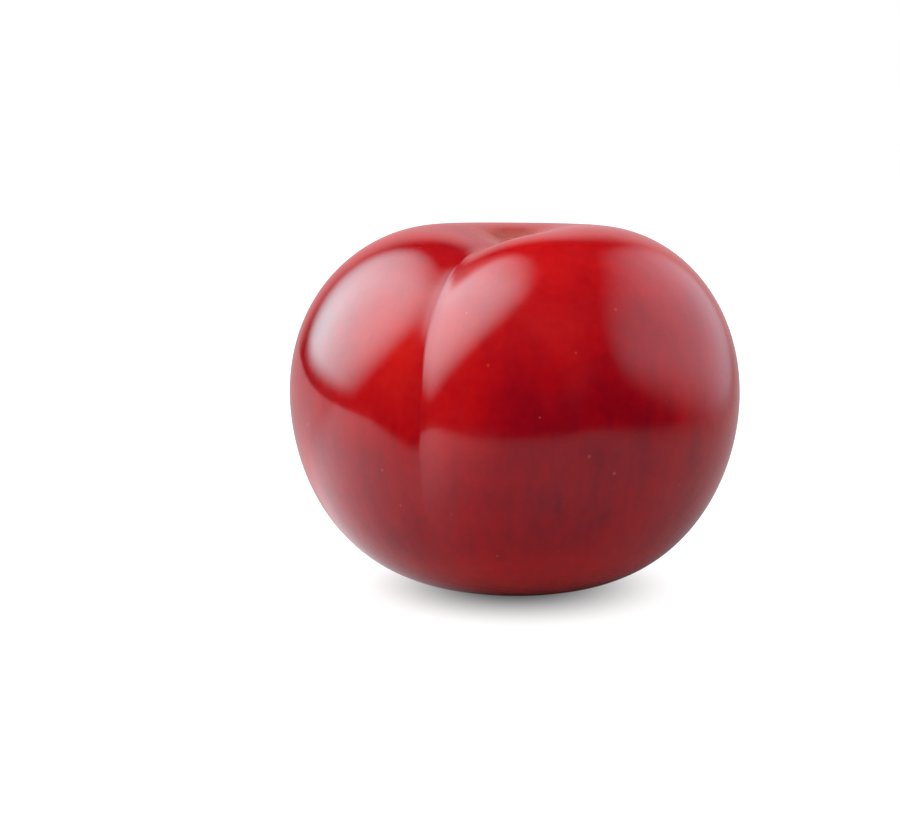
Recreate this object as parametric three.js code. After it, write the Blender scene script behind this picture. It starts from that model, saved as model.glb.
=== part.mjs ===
// A ripe red Japanese plum, picked without its stem, resting on a table.
//
// Units are millimetres and +Z is up. The suture (the shallow groove from the stem
// end down one side) faces -Y, and the cheeks beside it face -X and +X. The origin is
// on the surface the fruit rests on, under the middle of the box around it.
//
// The skin is one closed surface, given as a distance from a centre inside the fruit
// for every direction. "Polar" is the angle from the stem axis and "around" is the
// angle from the suture, positive towards +X.

import * as THREE from "three";
import { mergeVertices } from "three/addons/utils/BufferGeometryUtils.js";

// ---- Driving dimensions ----------------------------------------------------------

// Body of the fruit. The profile numbers are shares of the mean radius, each for one
// cosine of the polar angle.
const MEAN_RADIUS = 28.46;
const STEM_END_LIFT = 0.292; // sets the centre low, so the widest ring lies above it
const FLATTENING = -0.051; // shorter along the stem axis than it is wide
const STEM_END_BREADTH = -0.0166; // broad shoulders and a narrower blossom end
const SQUARENESS = -0.018; // fuller between the cheeks and the shoulders
const END_FULLNESS = -0.0058; // a little blunter at the blossom end
const CHEEK_BREADTH = 0.008; // wider from cheek to cheek than across the suture
const SWELL = 0.0022; // slow unevenness that growth leaves in the flesh

// Hollow at the stem end, measured outwards from the stem axis.
const BASIN_DEPTH = 3.2;
const BASIN_REACH = 12.4;
const WELL_DEPTH = 1.7;
const WELL_REACH = 4.6;
const SCAR_RADIUS = 1.75;
const SCAR_DEPTH = 0.7;

// Suture groove, full at the stem end and gone before the blossom end.
const SUTURE_DEPTH = 3.3;
const SUTURE_HALF_WAY = THREE.MathUtils.degToRad(92); // polar angle of half its depth
const SUTURE_FADE = THREE.MathUtils.degToRad(20); // angle over which it fades there
const SUTURE_FLANK = 9; // sideways distance over which a flank rises
const SUTURE_RIM_FLANK = 5; // the same near the stem, where the groove is narrower
const SUTURE_RIM_REACH = 20; // how far from the stem axis it stays narrower
const SUTURE_CREASE = 1.3; // how far the bottom of the groove is rounded
const SUTURE_START = 4; // distance in front of the stem axis where it has half its depth

// Shallow dimple at the blossom end, where the flower's style was.
const DIMPLE_DEPTH = 0.45;
const DIMPLE_REACH = 2.2;

// How it rests: the stem end leans back a little, and the flesh sits on a small flat.
const LEAN = THREE.MathUtils.degToRad(7);
const LEAN_HEADING = THREE.MathUtils.degToRad(116); // from +X towards +Y
const FLAT_DEPTH = 0.42; // height of flesh that the flat takes up

// Mesh: meridians run from the stem scar to the blossom end, and rings cross them.
const MERIDIANS = 84;
const RINGS = 46;
const RING_CROWDING = 0.13; // draws rings towards the scar and the dimple
const MERIDIAN_CROWDING = 0.5; // draws meridians towards the suture

// ---- Shape of the fruit ----------------------------------------------------------

const bump = (distance, reach) => Math.exp(-((distance / reach) ** 2));

// The body without its hollows: a squat globe with broad shoulders.
function bodyRadius(polar, around) {
  const profile =
    1 +
    STEM_END_LIFT * Math.cos(polar) +
    FLATTENING * Math.cos(2 * polar) +
    STEM_END_BREADTH * Math.cos(3 * polar) +
    SQUARENESS * Math.cos(4 * polar) +
    END_FULLNESS * Math.cos(5 * polar);
  const girth = Math.sin(polar);
  const cheeks = 1 - CHEEK_BREADTH * Math.cos(2 * around) * girth ** 2;
  const threefold = Math.sin(3 * around + 0.6) * girth ** 3;
  const fourfold = Math.cos(4 * around - 1.1) * girth ** 4 * Math.cos(polar);
  return MEAN_RADIUS * profile * cheeks * (1 + SWELL * (threefold + fourfold));
}

// The hollow that the stem grew in, with the round pit of the scar at its bottom.
function stemHollow(offAxis) {
  const basin = BASIN_DEPTH * bump(offAxis, BASIN_REACH);
  const well = WELL_DEPTH * bump(offAxis, WELL_REACH);
  const scar = SCAR_DEPTH * Math.exp(-((offAxis / SCAR_RADIUS) ** 4));
  return basin + well + scar;
}

// The groove on the -Y side. Its two flanks meet in a soft crease.
function sutureGroove(polar, offAxis, sideways, forwards) {
  const depth = SUTURE_DEPTH * 0.5 * (1 - Math.tanh((polar - SUTURE_HALF_WAY) / SUTURE_FADE));
  const away = Math.hypot(sideways, SUTURE_CREASE) - SUTURE_CREASE;
  const atRim = Math.exp(-((offAxis / SUTURE_RIM_REACH) ** 4));
  const flank = SUTURE_FLANK + (SUTURE_RIM_FLANK - SUTURE_FLANK) * atRim;
  const side = 0.5 * (1 + Math.tanh(forwards / SUTURE_START - 1));
  return depth * Math.exp(-away / flank) * side;
}

function skinRadius(polar, around) {
  const body = bodyRadius(polar, around);
  const offAxis = body * Math.sin(polar);
  const sideways = offAxis * Math.sin(around);
  const forwards = offAxis * Math.cos(around);
  const end =
    polar < Math.PI / 2 ? stemHollow(offAxis) : DIMPLE_DEPTH * bump(offAxis, DIMPLE_REACH);
  return body - end - sutureGroove(polar, offAxis, sideways, forwards);
}

// ---- Mesh ------------------------------------------------------------------------

// A sphere whose poles are the stem scar and the blossom end, with every point moved
// out or in to the skin.
function fruitSurface() {
  const geometry = new THREE.SphereGeometry(1, MERIDIANS, RINGS);
  geometry.deleteAttribute("normal");
  geometry.deleteAttribute("uv");
  geometry.rotateX(Math.PI / 2);

  const points = geometry.getAttribute("position");
  const point = new THREE.Vector3();
  for (let i = 0; i < points.count; i += 1) {
    point.fromBufferAttribute(points, i);
    const evenPolar = Math.acos(THREE.MathUtils.clamp(point.z, -1, 1));
    const evenAround = Math.atan2(point.x, -point.y);
    const polar = evenPolar - Math.PI * RING_CROWDING * Math.sin(2 * evenPolar);
    const around = evenAround - MERIDIAN_CROWDING * Math.sin(evenAround);
    const radius = skinRadius(polar, around);
    const offAxis = radius * Math.sin(polar);
    point.x = offAxis * Math.sin(around);
    point.y = -offAxis * Math.cos(around);
    point.z = radius * Math.cos(polar);
    points.setXYZ(i, point.x, point.y, point.z);
  }
  return mergeVertices(geometry);
}

// Tips the stem end over by the lean, centres the fruit on the origin, lowers it onto
// z = 0 and presses what would reach below that into the flat it rests on.
function setDown(geometry) {
  const hinge = new THREE.Vector3(-Math.sin(LEAN_HEADING), Math.cos(LEAN_HEADING), 0);
  geometry.applyMatrix4(new THREE.Matrix4().makeRotationAxis(hinge, LEAN));

  geometry.computeBoundingBox();
  const middle = geometry.boundingBox.getCenter(new THREE.Vector3());
  const lowest = geometry.boundingBox.min.z;
  geometry.translate(-middle.x, -middle.y, -lowest - FLAT_DEPTH);

  const points = geometry.getAttribute("position");
  for (let i = 0; i < points.count; i += 1) {
    points.setZ(i, Math.max(points.getZ(i), 0));
  }
  geometry.computeVertexNormals();
  return geometry;
}

// ---- The part --------------------------------------------------------------------

const skin = new THREE.MeshStandardMaterial({
  name: "skin",
  color: 0xa5080d,
  roughness: 0.28,
  metalness: 0,
});

const plum = new THREE.Mesh(setDown(fruitSurface()), skin);
plum.name = "plum";

const part = new THREE.Group();
part.add(plum);

export default part;
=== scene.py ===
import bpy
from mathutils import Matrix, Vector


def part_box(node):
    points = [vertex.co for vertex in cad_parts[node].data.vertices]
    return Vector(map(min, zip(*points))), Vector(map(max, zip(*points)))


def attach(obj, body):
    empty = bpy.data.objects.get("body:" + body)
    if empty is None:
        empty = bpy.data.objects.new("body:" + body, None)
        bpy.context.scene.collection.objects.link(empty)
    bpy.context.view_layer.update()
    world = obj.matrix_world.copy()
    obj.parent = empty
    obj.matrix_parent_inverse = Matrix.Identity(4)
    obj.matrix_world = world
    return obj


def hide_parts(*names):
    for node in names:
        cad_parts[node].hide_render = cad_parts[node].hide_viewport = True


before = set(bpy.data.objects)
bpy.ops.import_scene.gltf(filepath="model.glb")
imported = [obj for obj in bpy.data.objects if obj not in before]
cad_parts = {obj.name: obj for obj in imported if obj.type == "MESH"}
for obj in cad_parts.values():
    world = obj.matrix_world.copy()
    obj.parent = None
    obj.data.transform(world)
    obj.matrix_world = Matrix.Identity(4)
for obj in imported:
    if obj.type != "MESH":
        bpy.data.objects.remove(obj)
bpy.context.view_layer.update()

# The looks of a ripe red Japanese plum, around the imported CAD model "plum".
#
# The CAD solid has the fruit's main shape with few faces. This script repeats the same
# formula on a fine mesh, adds the small relief of real skin (the stem scar, creases
# around it, the fine line in the suture, faint unevenness), gives it a procedural
# skin, and sets up a white table, soft studio light and the camera.
#
# "Polar" is the angle from the stem axis and "around" is the angle from the suture,
# positive towards +X.

import math

import bpy
import numpy as np
from mathutils import Matrix, Quaternion, Vector, noise

MM = 0.001

# ---- Shape of the fruit, in millimetres and radians, as in the CAD source ---------

MEAN_RADIUS = 28.46
PROFILE = (1.0, 0.292, -0.051, -0.0166, -0.018, -0.0058)  # cosines of the polar angle
CHEEK_BREADTH = 0.008  # wider from cheek to cheek than across the suture
SWELL = 0.0022  # slow unevenness that growth leaves in the flesh
THREEFOLD_TURN = 0.6
FOURFOLD_TURN = -1.1
BASIN = (3.2, 12.4)  # depth and reach of each hollow
WELL = (1.7, 4.6)
SCAR = (0.7, 1.75)
DIMPLE = (0.45, 2.2)
SUTURE_DEPTH = 3.3
SUTURE_HALF_WAY = math.radians(92)  # polar angle of half its depth
SUTURE_FADE = math.radians(20)  # angle over which it fades there
SUTURE_FLANK = 9.0  # sideways distance over which a flank rises
SUTURE_CREASE = 1.3  # how far the bottom of the groove is rounded
SUTURE_RIM_FLANK = 5.0  # a flank near the stem, where the groove is narrower
SUTURE_RIM_REACH = 20.0  # how far from the stem axis it stays narrower
SUTURE_START = 4.0  # distance in front of the stem axis where it has half its depth
LEAN = math.radians(7)
LEAN_HEADING = math.radians(116)  # from +X towards +Y

# Fine mesh: rings from the stem scar to the blossom end, crossed by meridians.
RINGS = 300
MERIDIANS = 316
RING_CROWDING = 0.13
MERIDIAN_CROWDING = 0.5

# Small relief that only the fine mesh carries, in millimetres. Waves that go around the
# stem axis are given as how many there are, their turn and their share of the height.
CREASE_HEIGHT = 0.005
CREASE_WAVES = ((9, 0.4, 1.0), (14, 2.1, 0.7), (23, 4.0, 0.5), (37, 1.2, 0.35))
CREASE_RADIUS = 4.4
CREASE_REACH = 2.3
SEAM_DEPTH = 0.05
SEAM_WIDTH = 0.3
SCAR_RIM_RADIUS = 1.95
SCAR_RIM_HEIGHT = 0.2
SCAR_RIM_WIDTH = 0.38
SCAR_RIM_WAVES = ((5, 1.0, 0.25), (13, 0.0, 0.15))
PIT_DEPTH = 0.9
PIT_RADIUS = 0.6
LUMPS = ((24.0, 0.06), (10.0, 0.022), (4.0, 0.004))  # wavelength and height

# Broad patches of lighter (+) or deeper (-) red: polar angle, angle around from the
# suture, spread, all in degrees, and strength. Most are the skin's own tone, and two are
# painted light and shade, marked below.
TONES_AND_PAINTED_LIGHT = (
    (60, -5, 16, 0.6),
    (40, 15, 24, 0.4),
    (46, -36, 20, -0.3),
    (80, -40, 12, -0.35),
    # painted shadow: deeper red just below the middle, 40 degrees round from the suture
    (95, 40, 40, -0.45),
    (70, 62, 16, -0.15),
    # painted light: lighter red on the cheek a quarter turn from the suture
    (72, 95, 18, 0.4),
    (60, 170, 30, 0.35),
    (95, 205, 26, -0.4),
    (70, 260, 25, 0.3),
)
SEAM_TINT_WIDTH = 1.6
FAR_AWAY = 60.0  # stands for the distance to the end on the fruit's other side


def bump(distance, reach):
    return np.exp(-((distance / reach) ** 2))


def waves_around(around, waves):
    """Waves that go around the stem axis, added up."""
    return sum(share * np.sin(count * around + turn) for count, turn, share in waves)


def body_radius(polar, around):
    """The squat globe with broad shoulders, before its hollows are taken out."""
    profile = sum(share * np.cos(order * polar) for order, share in enumerate(PROFILE))
    girth = np.sin(polar)
    cheeks = 1 - CHEEK_BREADTH * np.cos(2 * around) * girth**2
    threefold = np.sin(3 * around + THREEFOLD_TURN) * girth**3
    fourfold = np.cos(4 * around + FOURFOLD_TURN) * girth**4 * np.cos(polar)
    return MEAN_RADIUS * profile * cheeks * (1 + SWELL * (threefold + fourfold))


def suture_share(polar, forwards):
    """How much of the groove's full depth is left here, from 1 to 0."""
    fade = 0.5 * (1 - np.tanh((polar - SUTURE_HALF_WAY) / SUTURE_FADE))
    return fade * 0.5 * (1 + np.tanh(forwards / SUTURE_START - 1))


def main_hollows(polar, off_axis, sideways, forwards):
    """The stem hollow, the blossom dimple and the suture groove, as in the CAD."""
    basin = BASIN[0] * bump(off_axis, BASIN[1])
    well = WELL[0] * bump(off_axis, WELL[1])
    scar = SCAR[0] * np.exp(-((off_axis / SCAR[1]) ** 4))
    dimple = DIMPLE[0] * bump(off_axis, DIMPLE[1])
    end = np.where(polar < math.pi / 2, basin + well + scar, dimple)
    away = np.hypot(sideways, SUTURE_CREASE) - SUTURE_CREASE
    at_rim = np.exp(-((off_axis / SUTURE_RIM_REACH) ** 4))
    flank = SUTURE_FLANK + (SUTURE_RIM_FLANK - SUTURE_FLANK) * at_rim
    groove = SUTURE_DEPTH * np.exp(-away / flank) * suture_share(polar, forwards)
    return end + groove


def stem_relief(polar, around, off_axis):
    """The corky rim and pit of the stem scar, and the creases that run out of it."""
    creases = CREASE_HEIGHT * waves_around(around, CREASE_WAVES)
    creases *= bump(off_axis - CREASE_RADIUS, CREASE_REACH)
    rim = SCAR_RIM_HEIGHT * (1 + waves_around(around, SCAR_RIM_WAVES))
    rim *= bump(off_axis - SCAR_RIM_RADIUS, SCAR_RIM_WIDTH)
    pit = PIT_DEPTH * bump(off_axis, PIT_RADIUS)
    return np.where(polar < math.pi / 2, creases + rim - pit, 0.0)


def lumps(direction):
    """Faint unevenness of the flesh, the same on every run."""
    height = np.zeros(len(direction))
    for wavelength, size in LUMPS:
        scale = MEAN_RADIUS / wavelength
        height += [size * noise.noise(Vector(d) * scale) for d in direction]
    return height


def grid_directions():
    """Polar angle and angle around from the suture, for every vertex of the mesh."""
    ring = np.arange(RINGS + 1) * math.pi / RINGS
    ring = ring - math.pi * RING_CROWDING * np.sin(2 * ring)
    meridian = np.arange(MERIDIANS) * 2 * math.pi / MERIDIANS
    meridian = meridian - MERIDIAN_CROWDING * np.sin(meridian)
    polar, around = np.meshgrid(ring[1:-1], meridian, indexing="ij")
    polar = np.concatenate(([0.0], polar.ravel(), [math.pi]))
    around = np.concatenate(([0.0], around.ravel(), [0.0]))
    return polar, around


def grid_faces():
    """Quads between the rings and a fan at each pole, all facing out."""
    last = (RINGS - 1) * MERIDIANS + 1
    faces = []
    for m in range(MERIDIANS):
        n = (m + 1) % MERIDIANS
        faces.append((0, 1 + m, 1 + n))
        for row in range(RINGS - 2):
            top = 1 + row * MERIDIANS
            low = top + MERIDIANS
            faces.append((top + m, low + m, low + n, top + n))
        bottom = last - MERIDIANS
        faces.append((bottom + m, last, bottom + n))
    return faces


def unit_vectors(polar, around):
    """Points at distance 1 from the centre, with the stem axis up and the suture at -Y."""
    x = np.sin(polar) * np.sin(around)
    y = -np.sin(polar) * np.cos(around)
    return np.stack([x, y, np.cos(polar)], axis=-1)


def set_down(points):
    """Leans the stem axis back, then fits the fruit to the CAD box and its flat."""
    hinge = Vector((-math.sin(LEAN_HEADING), math.cos(LEAN_HEADING), 0))
    turn = np.array(Matrix.Rotation(LEAN, 3, hinge))
    points = points @ turn.T * MM
    low, high = (np.array(corner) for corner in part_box("plum"))
    own_low, own_high = points.min(axis=0), points.max(axis=0)
    shift = (low + high - own_low - own_high) / 2
    shift[2] = high[2] - own_high[2]
    points = points + shift
    points[:, 2] = np.maximum(points[:, 2], low[2])
    return points


def tone_and_painted_light(direction):
    """Lighter or deeper red, above or below 0, at each place on the skin: the skin's own tone,
    with painted light and shade in two of the patches.
    """
    total = np.zeros(len(direction))
    for polar, around, spread, strength in TONES_AND_PAINTED_LIGHT:
        middle = unit_vectors(math.radians(polar), math.radians(around))
        angle = np.degrees(np.arccos(np.clip(direction @ middle, -1, 1)))
        total += strength * bump(angle, spread)
    return total


def add_numbers(mesh, name, values):
    """One number for each vertex, for the skin material."""
    layer = mesh.attributes.new(name, "FLOAT", "POINT")
    layer.data.foreach_set("value", np.asarray(values, np.float32))


def add_vectors(mesh, name, values):
    layer = mesh.attributes.new(name, "FLOAT_VECTOR", "POINT")
    layer.data.foreach_set("vector", values.astype(np.float32).ravel())


def make_plum():
    polar, around = grid_directions()
    body = body_radius(polar, around)
    off_axis = body * np.sin(polar)
    sideways = off_axis * np.sin(around)
    forwards = off_axis * np.cos(around)
    direction = unit_vectors(polar, around)
    share = suture_share(polar, forwards)
    seam = SEAM_DEPTH * bump(sideways, SEAM_WIDTH) * share
    radius = body - main_hollows(polar, off_axis, sideways, forwards)
    radius += stem_relief(polar, around, off_axis) + lumps(direction) - seam
    points = set_down(radius[:, None] * direction)

    mesh = bpy.data.meshes.new("plum_skin")
    mesh.from_pydata(points.tolist(), [], grid_faces())
    mesh.polygons.foreach_set("use_smooth", [True] * len(mesh.polygons))
    stem_side = polar < math.pi / 2
    add_numbers(mesh, "from_stem_mm", np.where(stem_side, off_axis, FAR_AWAY))
    add_numbers(mesh, "from_blossom_mm", np.where(stem_side, FAR_AWAY, off_axis))
    add_numbers(mesh, "polar", polar / math.pi)
    add_numbers(mesh, "tone_and_painted_light", tone_and_painted_light(direction))
    add_numbers(mesh, "suture", np.exp(-np.abs(sideways) / SEAM_TINT_WIDTH) * share)
    add_vectors(mesh, "direction", direction)
    mesh.update()
    plum = bpy.data.objects.new("plum_skin", mesh)
    bpy.context.scene.collection.objects.link(plum)
    return plum


# ---- Node trees -------------------------------------------------------------------

WHITE = (1, 1, 1, 1)


class Nodes:
    """Short calls for building a node tree."""

    def __init__(self, tree):
        self.tree = tree
        self.tree.nodes.clear()

    def add(self, kind, inputs=(), **settings):
        """A node with its settings. Each input is a socket to link or a plain value."""
        node = self.tree.nodes.new(kind)
        for key, value in settings.items():
            setattr(node, key, value)
        for key, value in dict(inputs).items():
            if isinstance(value, bpy.types.NodeSocket):
                self.tree.links.new(value, node.inputs[key])
            else:
                node.inputs[key].default_value = value
        return node

    def attribute(self, name):
        return self.add("ShaderNodeAttribute", attribute_name=name)

    def math(self, operation, first, second=0.0):
        return self.add("ShaderNodeMath", {0: first, 1: second}, operation=operation).outputs[0]

    def times(self, first, *others):
        for other in others:
            first = self.math("MULTIPLY", first, other)
        return first

    def plus(self, first, *others):
        for other in others:
            first = self.math("ADD", first, other)
        return first

    def ramp(self, value, low, high, to_low=0.0, to_high=1.0):
        """Smoothly maps low..high onto to_low..to_high."""
        inputs = {"Value": value, 1: low, 2: high, 3: to_low, 4: to_high}
        node = self.add("ShaderNodeMapRange", inputs, interpolation_type="SMOOTHSTEP")
        return node.outputs[0]

    def mix(self, share, first, second):
        """The first colour where the share is 0, and the second where it is 1."""
        inputs = {0: share, 6: first, 7: second}
        return self.add("ShaderNodeMix", inputs, data_type="RGBA").outputs[2]

    def noise(self, vector, scale, detail=2.0, roughness=0.5):
        inputs = {"Vector": vector, "Scale": scale, "Detail": detail, "Roughness": roughness}
        return self.add("ShaderNodeTexNoise", inputs).outputs[0]

    def vector_math(self, operation, first, second=(0, 0, 0)):
        return self.add("ShaderNodeVectorMath", {0: first, 1: second}, operation=operation)

    def dot(self, vector, axis):
        return self.vector_math("DOT_PRODUCT", vector, axis).outputs["Value"]

    def finish(self, shader):
        output = self.add("ShaderNodeOutputMaterial")
        self.tree.links.new(shader.outputs[0], output.inputs[0])


def new_material(name):
    material = bpy.data.materials.new(name)
    material.use_nodes = True
    return material, Nodes(material.node_tree)


# ---- Skin -------------------------------------------------------------------------

CRIMSON = (0.50, 0.001, 0.005, 1)
SCARLET = (0.72, 0.006, 0.004, 1)
DEEP = (0.22, 0.001, 0.010, 1)
SPECK = (0.72, 0.10, 0.04, 1)
BLOOM = (0.50, 0.30, 0.36, 1)
HOLLOW = (0.50, 0.12, 0.09, 1)
CORK = (0.30, 0.17, 0.08, 1)
PIT = (0.035, 0.014, 0.008, 1)

# Noise: features per metre, detail and roughness.
PATCHES = (55.0, 4.0, 0.55)
STREAKS = (1.0, 3.0, 0.6)  # features per step of the stretched direction
STREAK_STRETCH = (14.0, 14.0, 2.5)  # lays the streaks along the meridians
GRAIN = (900.0, 2.0)
BLOOM_PATCHES = (120.0, 4.0, 0.6)
WAVES = (260.0, 2.0)
SCAR_GRAIN = (1800.0, 3.0, 0.65)

# Ramps: the value's low and high end, and what comes out at each. The red's level is 0
# for crimson, 1 for scarlet and -1 for deep red. Polar places are 0 at the stem end and
# 1 at the blossom end, and distances from an end are in millimetres.
PATCH_LEVEL = (0.25, 0.75, -0.35, 0.35)
STREAK_LEVEL = (0.3, 0.7, -0.12, 0.12)
GRAIN_LEVEL = (0.3, 0.7, -0.06, 0.06)
# Painted shade: deeper red from the middle of the fruit down.
PAINTED_SHADE_BELOW_GIRTH = (0.36, 0.50, 0.0, -0.36)
# Painted light: lighter red on the underside, where the table throws light up.
PAINTED_LIGHT_AT_BASE = (0.60, 0.74, 0.0, 0.6)
BLOOM_EDGE = (0.42, 0.75)
BLOOM_FADE = (5.0, 17.0, 0.20, 0.012)
HOLLOW_FADE = (2.2, 9.0, 0.75, 0.0)
BLOSSOM_SCAR_FADE = (0.35, 1.1, 0.8, 0.0)
SKIN_ROUGHNESS = (0.3, 0.7, 0.12, 0.15)
SCAR_COLOURS = (0.3, 0.75)
SCAR_PIT_FADE = (0.35, 1.0, 0.95, 0.0)
SCAR_ROUGHNESS = (0.2, 0.8, 0.65, 0.85)

SEAM_TINT = 0.25
BLOOM_ROUGHNESS = 0.9
SPECKS_PER_METRE = 420.0
SPECK_SIZE = (0.55, 1.0, 0.0, 0.11)  # from the cell's chance, as a share of the cell
SPECK_EDGE = (-0.02, 0.03)
SPECK_STRENGTH = (0.0, 1.0, 0.1, 0.45)
WAVE_HEIGHT = 0.6  # shares of the skin's relief
GRAIN_HEIGHT = 0.12
SPECK_HEIGHT = 0.25


def pigment_and_painted_light(n, place, grain):
    """Crimson with broad patches, soft streaks along the meridians and a fine grain, and
    painted light and shade: deeper red on the lower half, lighter red on the underside, and the
    painted patches among the tones.
    """
    direction = n.attribute("direction").outputs["Vector"]
    stretch = {"Vector": direction, "Scale": STREAK_STRETCH}
    stretched = n.add("ShaderNodeMapping", stretch).outputs[0]
    polar = n.attribute("polar").outputs["Fac"]
    level = n.plus(
        n.attribute("tone_and_painted_light").outputs["Fac"],
        n.ramp(polar, *PAINTED_SHADE_BELOW_GIRTH),
        n.ramp(polar, *PAINTED_LIGHT_AT_BASE),
        n.ramp(n.noise(place, *PATCHES), *PATCH_LEVEL),
        n.ramp(n.noise(stretched, *STREAKS), *STREAK_LEVEL),
        n.ramp(grain, *GRAIN_LEVEL),
    )
    colour = n.mix(n.math("MAXIMUM", level, 0.0), CRIMSON, SCARLET)
    return n.mix(n.math("MAXIMUM", n.times(level, -1.0), 0.0), colour, DEEP)


def speck_share(n, place):
    """Lenticels: pale specks, each with its own size and strength."""
    spread = {"Vector": place, "Scale": SPECKS_PER_METRE, "Randomness": 1.0}
    cells = n.add("ShaderNodeTexVoronoi", spread)
    chance = n.add("ShaderNodeSeparateColor", {0: cells.outputs["Color"]})
    size = n.ramp(chance.outputs[0], *SPECK_SIZE)
    inside = n.math("SUBTRACT", size, cells.outputs["Distance"])
    return n.times(n.ramp(inside, *SPECK_EDGE), n.ramp(chance.outputs[1], *SPECK_STRENGTH))


def bloom_share(n, place, from_stem):
    """Waxy bloom that handling has left in the hollow and in thin patches."""
    patches = n.ramp(n.noise(place, *BLOOM_PATCHES), *BLOOM_EDGE)
    return n.times(patches, n.ramp(from_stem, *BLOOM_FADE))


def skin_relief(n, place, grain, speck):
    height = n.plus(
        n.times(n.noise(place, *WAVES), WAVE_HEIGHT),
        n.times(grain, GRAIN_HEIGHT),
        n.times(speck, SPECK_HEIGHT),
    )
    bumps = {"Strength": 0.25, "Distance": 0.02 * MM, "Height": height}
    return n.add("ShaderNodeBump", bumps).outputs[0]


def skin_material():
    """Glossy red skin. The hollow is browner towards the stem, the blossom end has a
    small dry scar, and the suture is a little deeper red."""
    material, n = new_material("plum_skin")
    place = n.add("ShaderNodeTexCoord").outputs["Object"]
    from_stem = n.attribute("from_stem_mm").outputs["Fac"]
    from_blossom = n.attribute("from_blossom_mm").outputs["Fac"]
    suture = n.attribute("suture").outputs["Fac"]
    grain = n.noise(place, *GRAIN)
    speck = speck_share(n, place)
    bloom = bloom_share(n, place, from_stem)
    relief = skin_relief(n, place, grain, speck)

    colour = n.mix(speck, pigment_and_painted_light(n, place, grain), SPECK)
    colour = n.mix(bloom, colour, BLOOM)
    colour = n.mix(n.ramp(from_stem, *HOLLOW_FADE), colour, HOLLOW)
    colour = n.mix(n.ramp(from_blossom, *BLOSSOM_SCAR_FADE), colour, CORK)
    colour = n.mix(n.times(suture, SEAM_TINT), colour, DEEP)

    roughness = n.plus(n.ramp(grain, *SKIN_ROUGHNESS), n.times(bloom, BLOOM_ROUGHNESS))
    shader = n.add(
        "ShaderNodeBsdfPrincipled",
        {
            "Base Color": colour,
            "Roughness": roughness,
            "IOR": 1.36,
            "Normal": relief,
            "Coat Weight": 0.5,
            "Coat Roughness": 0.08,
            "Coat IOR": 1.5,
            "Coat Normal": relief,
        },
    )
    n.finish(shader)
    return material


def scar_material():
    """Dry, corky skin where the stem broke off."""
    material, n = new_material("plum_scar")
    place = n.add("ShaderNodeTexCoord").outputs["Object"]
    from_stem = n.attribute("from_stem_mm").outputs["Fac"]
    grain = n.noise(place, *SCAR_GRAIN)
    colour = n.mix(n.ramp(grain, *SCAR_COLOURS), CORK, HOLLOW)
    colour = n.mix(n.ramp(from_stem, *SCAR_PIT_FADE), colour, PIT)
    relief = n.add("ShaderNodeBump", {"Strength": 0.7, "Distance": 0.08 * MM, "Height": grain})
    shader = n.add(
        "ShaderNodeBsdfPrincipled",
        {
            "Base Color": colour,
            "Roughness": n.ramp(grain, *SCAR_ROUGHNESS),
            "Normal": relief.outputs[0],
        },
    )
    n.finish(shader)
    return material


def dress(plum):
    """Skin all over, with the dry material on the faces inside the stem scar."""
    plum.data.materials.append(skin_material())
    plum.data.materials.append(scar_material())
    reach = np.zeros(len(plum.data.vertices), np.float32)
    plum.data.attributes["from_stem_mm"].data.foreach_get("value", reach)
    for face in plum.data.polygons:
        if reach[list(face.vertices)].max() < SCAR_RIM_RADIUS:
            face.material_index = 1


# ---- Places around the fruit, in metres and degrees -------------------------------

CAMERA_HEADING = 26  # from -Y towards +X
CAMERA_ELEVATION = 12
CAMERA_DISTANCE = 0.45
CAMERA_CLIP_START = 0.01
LENS = 131.0
AIM_LEFT = 0.0091  # the fruit stands right of the middle of the frame by this much
AIM_BELOW = 0.0012


def towards(heading, elevation=0):
    """A direction from the fruit. Heading 0 is towards the camera, then to its right."""
    turn = math.radians(CAMERA_HEADING + heading)
    rise = math.radians(elevation)
    flat = math.cos(rise)
    return Vector((math.sin(turn) * flat, -math.cos(turn) * flat, math.sin(rise)))


FRONT = towards(0)
RIGHT = towards(90)
BACK = towards(180)
UP = Vector((0, 0, 1))


def middle_of_fruit():
    low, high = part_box("plum")
    return (low + high) / 2


def look_along(direction):
    return direction.to_track_quat("-Z", "Y")


def add_camera():
    middle = middle_of_fruit()
    back = towards(0, CAMERA_ELEVATION)
    up = back.cross(RIGHT)
    place = middle + back * CAMERA_DISTANCE
    aim = middle - RIGHT * AIM_LEFT - up * AIM_BELOW
    camera = bpy.data.objects.new("camera", bpy.data.cameras.new("camera"))
    camera.data.lens = LENS
    camera.data.clip_start = CAMERA_CLIP_START
    camera.location = place
    camera.rotation_mode = "QUATERNION"
    camera.rotation_quaternion = look_along(aim - place)
    bpy.context.scene.collection.objects.link(camera)
    bpy.context.scene.camera = camera


def plane(name, width, height):
    mesh = bpy.data.meshes.new(name)
    w, h = width / 2, height / 2
    mesh.from_pydata([(-w, -h, 0), (w, -h, 0), (w, h, 0), (-w, h, 0)], [], [(0, 1, 2, 3)])
    layer = mesh.uv_layers.new(name="UVMap")
    for corner, uv in enumerate([(0, 0), (1, 0), (1, 1), (0, 1)]):
        layer.data[corner].uv = uv
    obj = bpy.data.objects.new(name, mesh)
    bpy.context.scene.collection.objects.link(obj)
    return obj


# ---- White table ------------------------------------------------------------------

# How far it reaches to each side of the fruit. Two of its edges are faded out in the
# gloss, where a sharp one would show.
TABLE_NEAR = 0.24
TABLE_FAR = 0.40
TABLE_LEFT = 0.36
TABLE_RIGHT = 0.20
TABLE_SOFT_EDGE = 0.12

# What the camera sees is topped up to white, but for the shadow close to the fruit. The
# top-up fades out towards the fruit, which paints a round shadow there on top of the
# real one. The numbers are distances from the fruit's middle and the strength at each.
TOP_UP_AND_PAINTED_SHADOW = (0.002, 0.0232, 0.0, 0.88)
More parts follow.
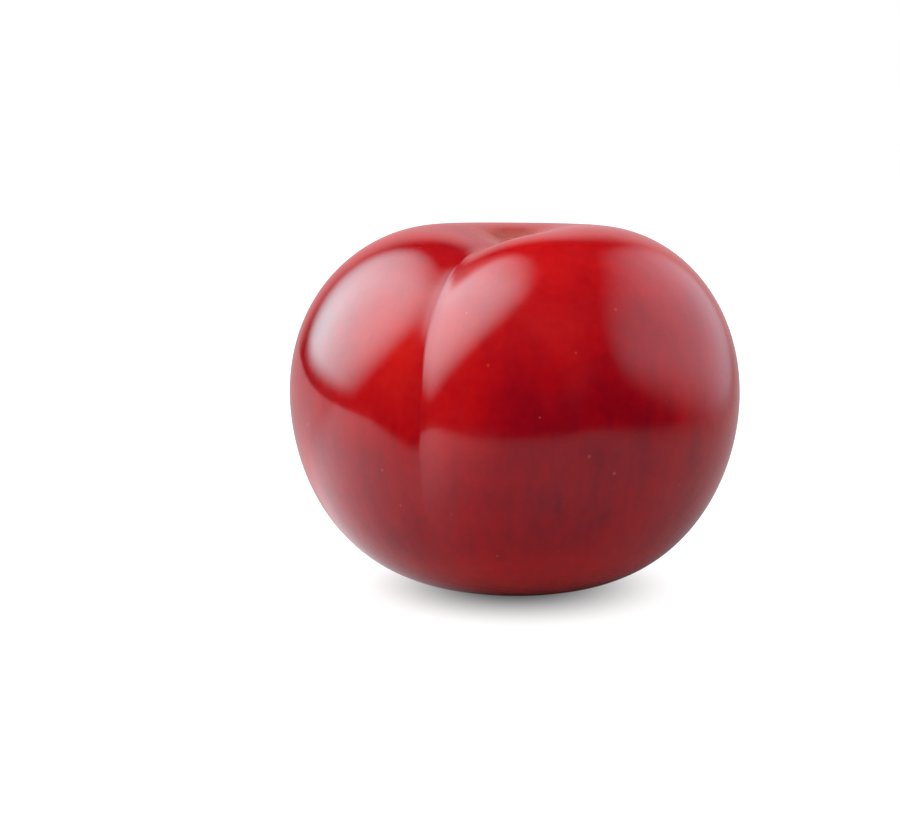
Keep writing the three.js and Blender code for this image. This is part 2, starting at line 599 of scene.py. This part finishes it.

# What the gloss mirrors is a glow of the table's own that paints light and shade on it:
# brightest on the lit side, with a painted shadow close to the fruit, and dimmer round the
# back, where it is also redder.
LIT_HEADING = -97
LIT_LEVEL = 1.2
MIRRORED_PAINTED_SHADOW_REACH = (-0.01, 0.075)
MIRRORED_BEHIND = (0.35, 0.85, 1.0, 0.35)  # cosines of the angle from the back, strengths
RED_REACH = (0.0, 0.04)  # distances behind the fruit's middle
MIRRORED_TINT = (1, 0.98, 1.07, 1)
MIRRORED_RED_TINT = (1.0, 0.48, 0.52, 1)
TABLE_GREY = (0.32, 0.32, 0.33, 1)
TABLE_RED_GREY = (0.37, 0.29, 0.30, 1)
TABLE_BOUNCE = (0.58, 0.58, 0.58, 1)  # its colour for light that it throws on the fruit


def table_top_up(n, path, place):
    """Light of the table's own, for the camera and for the gloss. Both fade out close to the
    fruit, a painted shadow there.
    """
    distance = n.vector_math("LENGTH", place).outputs["Value"]
    seen = n.math("MAXIMUM", path["Is Camera Ray"], path["Is Transmission Ray"])
    seen = n.times(seen, n.ramp(distance, *TOP_UP_AND_PAINTED_SHADOW))
    heading = n.vector_math("NORMALIZE", place).outputs[0]
    lit_side = n.math("MAXIMUM", n.dot(heading, towards(LIT_HEADING)), 0.0)
    mirrored = n.times(
        n.math("POWER", lit_side, 2.0),
        LIT_LEVEL,
        path["Is Glossy Ray"],
        n.ramp(distance, *MIRRORED_PAINTED_SHADOW_REACH),
        n.ramp(n.dot(heading, BACK), *MIRRORED_BEHIND),
    )
    return n.plus(seen, mirrored)


def table_shader(n, path, place):
    """Pale card with a glow of its own. Behind the fruit both are redder in the gloss."""
    glossy = path["Is Glossy Ray"]
    red = n.times(glossy, n.ramp(n.dot(place, BACK), *RED_REACH))
    pale = n.mix(red, TABLE_GREY, TABLE_RED_GREY)
    pale = n.mix(path["Is Diffuse Ray"], pale, TABLE_BOUNCE)
    card = n.add("ShaderNodeBsdfDiffuse", {"Color": pale})
    tint = n.mix(red, n.mix(glossy, WHITE, MIRRORED_TINT), MIRRORED_RED_TINT)
    light = {"Color": tint, "Strength": table_top_up(n, path, place)}
    glow = n.add("ShaderNodeEmission", light)
    return n.add("ShaderNodeAddShader", {0: card.outputs[0], 1: glow.outputs[0]})


def table_material():
    """Reads as pure white but for the shadow close to the fruit, which is partly real and
    partly painted by its fading glow.
    """
    material, n = new_material("white_table")
    place = n.add("ShaderNodeNewGeometry").outputs["Position"]
    path = n.add("ShaderNodeLightPath").outputs
    near_edge = n.ramp(n.dot(place, FRONT), TABLE_NEAR - TABLE_SOFT_EDGE, TABLE_NEAR)
    right_edge = n.ramp(n.dot(place, RIGHT), TABLE_RIGHT - TABLE_SOFT_EDGE, TABLE_RIGHT)
    gone = n.times(path["Is Glossy Ray"], n.math("MAXIMUM", near_edge, right_edge))
    table = table_shader(n, path, place)
    clear = n.add("ShaderNodeBsdfTransparent")
    n.finish(n.add("ShaderNodeMixShader", {0: gone, 1: table.outputs[0], 2: clear.outputs[0]}))
    return material


def add_table():
    table = plane("table", TABLE_LEFT + TABLE_RIGHT, TABLE_NEAR + TABLE_FAR)
    table.data.materials.append(table_material())
    right = RIGHT * (TABLE_RIGHT - TABLE_LEFT) / 2
    near = FRONT * (TABLE_NEAR - TABLE_FAR) / 2
    table.location = right + near
    table.rotation_euler = (0, 0, math.radians(CAMERA_HEADING))


# ---- Softbox and reflector --------------------------------------------------------

CARD_DISTANCE = 0.42
CARD_DIM_SIDE = (0.22, 0.46)  # shares of its width, from dim to full

# A card's light is dimmed and tinted in skin that is seen edge-on, so that the outline
# stays clear against the white. That skin is hardly nearer to the card than the middle
# of the fruit is, and skin that faces the card is much nearer.
EDGE_ON_REACH = (0.0025, 0.010)  # how much nearer, from edge-on to facing
EDGE_ON_SHARE = 0.2  # of the card's light
EDGE_ON_COLOUR = (0.95, 0.85, 0.90, 1)

# The foot is the two heights between which a card's light fades in, measured on a slope
# that rises towards the front by the slant. The dim side is the light's share there.
SOFTBOX = {
    "heading": -106,
    "elevation": 40,
    "roll": -20,
    "size": (0.86, 1.12),
    "corner": 2.0,
    "radiance": 5.6,
    "colour": (0.60, 0.95, 1.02, 1),
    "foot": (0.01, 0.09),
    "slant": 0.0,
    "dim_side": 0.68,
}
REFLECTOR = {
    "heading": 107,
    "elevation": 20,
    "roll": 0,
    "size": (1.08, 0.80),
    "corner": 3.0,
    "radiance": 1.20,
    "colour": (0.80, 0.96, 1.10, 1),
    "foot": (-0.09, 0.16),
    "slant": 0.5,
    "dim_side": 1.0,
}


def card_strength(n, card, place):
    """Bright in the middle, with a soft edge, rounded corners, a foot and a dim side."""
    uv = n.add("ShaderNodeTexCoord").outputs["UV"]
    sides = n.add("ShaderNodeSeparateXYZ", {0: uv})
    across, up = (n.math("SUBTRACT", side, 0.5) for side in sides.outputs[:2])
    across, up = (n.times(n.math("ABSOLUTE", side), 2.0) for side in (across, up))
    off_middle = n.plus(n.math("POWER", across, card["corner"]), n.math("POWER", up, 2.0))
    return n.times(
        n.ramp(off_middle, 0.0, 1.0, card["radiance"], 0.0),
        n.ramp(n.dot(place, UP + BACK * card["slant"]), *card["foot"]),
        n.ramp(sides.outputs[0], *CARD_DIM_SIDE, card["dim_side"], 1.0),
    )


def facing_share(n, place):
    """0 in the gloss of skin that is seen edge-on, up to 1 where it faces the card."""
    to_skin = n.add("ShaderNodeLightPath").outputs["Ray Length"]
    to_middle = n.vector_math("DISTANCE", place, middle_of_fruit()).outputs["Value"]
    return n.ramp(n.math("SUBTRACT", to_middle, to_skin), *EDGE_ON_REACH)


def card_material(name, card):
    """A glow that hides nothing behind it."""
    material, n = new_material(name)
    place = n.add("ShaderNodeNewGeometry").outputs["Position"]
    facing = facing_share(n, place)
    level = n.ramp(facing, 0.0, 1.0, EDGE_ON_SHARE, 1.0)
    strength = n.times(card_strength(n, card, place), level)
    colour = n.mix(facing, EDGE_ON_COLOUR, card["colour"])
    glow = n.add("ShaderNodeEmission", {"Color": colour, "Strength": strength})
    clear = n.add("ShaderNodeBsdfTransparent")
    n.finish(n.add("ShaderNodeAddShader", {0: clear.outputs[0], 1: glow.outputs[0]}))
    return material


def add_card(name, card):
    """A softbox or reflector that shows only in the gloss of the skin."""
    obj = plane(name, *card["size"])
    obj.data.materials.append(card_material(name, card))
    out = towards(card["heading"], card["elevation"])
    obj.location = middle_of_fruit() + out * CARD_DISTANCE
    obj.rotation_mode = "QUATERNION"
    turn = Quaternion((0, 0, 1), math.radians(card["roll"]))
    obj.rotation_quaternion = look_along(-out) @ turn
    obj.visible_camera = False
    obj.visible_diffuse = False
    obj.visible_shadow = False
    obj.visible_transmission = False


# ---- Lamp and world ---------------------------------------------------------------

LAMP_DISTANCE = 1.5
LAMP_SIZE = 1.2
KEY_LAMP = (-40, 55, 0.10)  # heading, elevation and level

# Diffuse light of the room: its level, and how much it grows to the camera's right, to
# the front and upwards.
SKY_LEVEL = 0.60
SKY_RIGHT = -0.34
SKY_FRONT = -0.40
SKY_UP = 0.92

# The wall behind the fruit: its two colours, where one turns into the other, where it
# fades in from the sides, and where it fades out at the top. The places are parts of a
# direction of length 1: to the right, to the back and up.
WALL_LEFT = (0.80, 0.36, 0.37, 1)
WALL_RIGHT = (0.66, 0.40, 0.42, 1)
WALL_TURN = (-0.35, 0.25)
WALL_SIDES = (0.80, 0.95)
WALL_TOP = (0.72, 0.52)


def add_lamp(name, heading, elevation, level):
    """A wide, far lamp that lights colours and leaves no reflection of its own.

    The level is how bright a white surface facing it would look, 1 being white."""
    data = bpy.data.lights.new(name, "AREA")
    data.size = LAMP_SIZE
    data.energy = level * (math.pi * LAMP_DISTANCE) ** 2
    lamp = bpy.data.objects.new(name, data)
    out = towards(heading, elevation)
    lamp.location = middle_of_fruit() + out * LAMP_DISTANCE
    lamp.rotation_mode = "QUATERNION"
    lamp.rotation_quaternion = look_along(-out)
    lamp.visible_camera = False
    lamp.visible_glossy = False
    bpy.context.scene.collection.objects.link(lamp)


def world_shader(n):
    path = n.add("ShaderNodeLightPath").outputs
    ray = n.add("ShaderNodeTexCoord").outputs["Generated"]
    slope = RIGHT * SKY_RIGHT + FRONT * SKY_FRONT + UP * SKY_UP
    sky = n.math("MAXIMUM", n.plus(n.dot(ray, slope), SKY_LEVEL), 0.0)
    wall = n.times(n.ramp(n.dot(ray, BACK), *WALL_SIDES), n.ramp(n.dot(ray, UP), *WALL_TOP))
    strength = n.plus(
        n.math("MAXIMUM", path["Is Camera Ray"], path["Is Transmission Ray"]),
        n.times(wall, path["Is Glossy Ray"]),
        n.times(sky, path["Is Diffuse Ray"]),
    )
    wall_colour = n.mix(n.ramp(n.dot(ray, RIGHT), *WALL_TURN), WALL_LEFT, WALL_RIGHT)
    colour = n.mix(path["Is Glossy Ray"], WHITE, wall_colour)
    return n.add("ShaderNodeBackground", {"Color": colour, "Strength": strength})


def add_world():
    """White for the camera, and for the fruit a bright ceiling that lights its colours
    and a reddish wall behind it that shows in its gloss."""
    world = bpy.data.worlds.new("studio")
    world.use_nodes = True
    world.cycles.sampling_method = "NONE"
    n = Nodes(world.node_tree)
    background = world_shader(n)
    n.tree.links.new(background.outputs[0], n.add("ShaderNodeOutputWorld").inputs[0])
    bpy.context.scene.world = world


def add_studio():
    add_table()
    add_world()
    add_card("softbox", SOFTBOX)
    add_card("reflector", REFLECTOR)
    add_lamp("key_lamp", *KEY_LAMP)
    bpy.context.scene.view_settings.view_transform = "Standard"


plum = make_plum()
dress(plum)
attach(plum, "root")
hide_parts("plum")

add_camera()
add_studio()
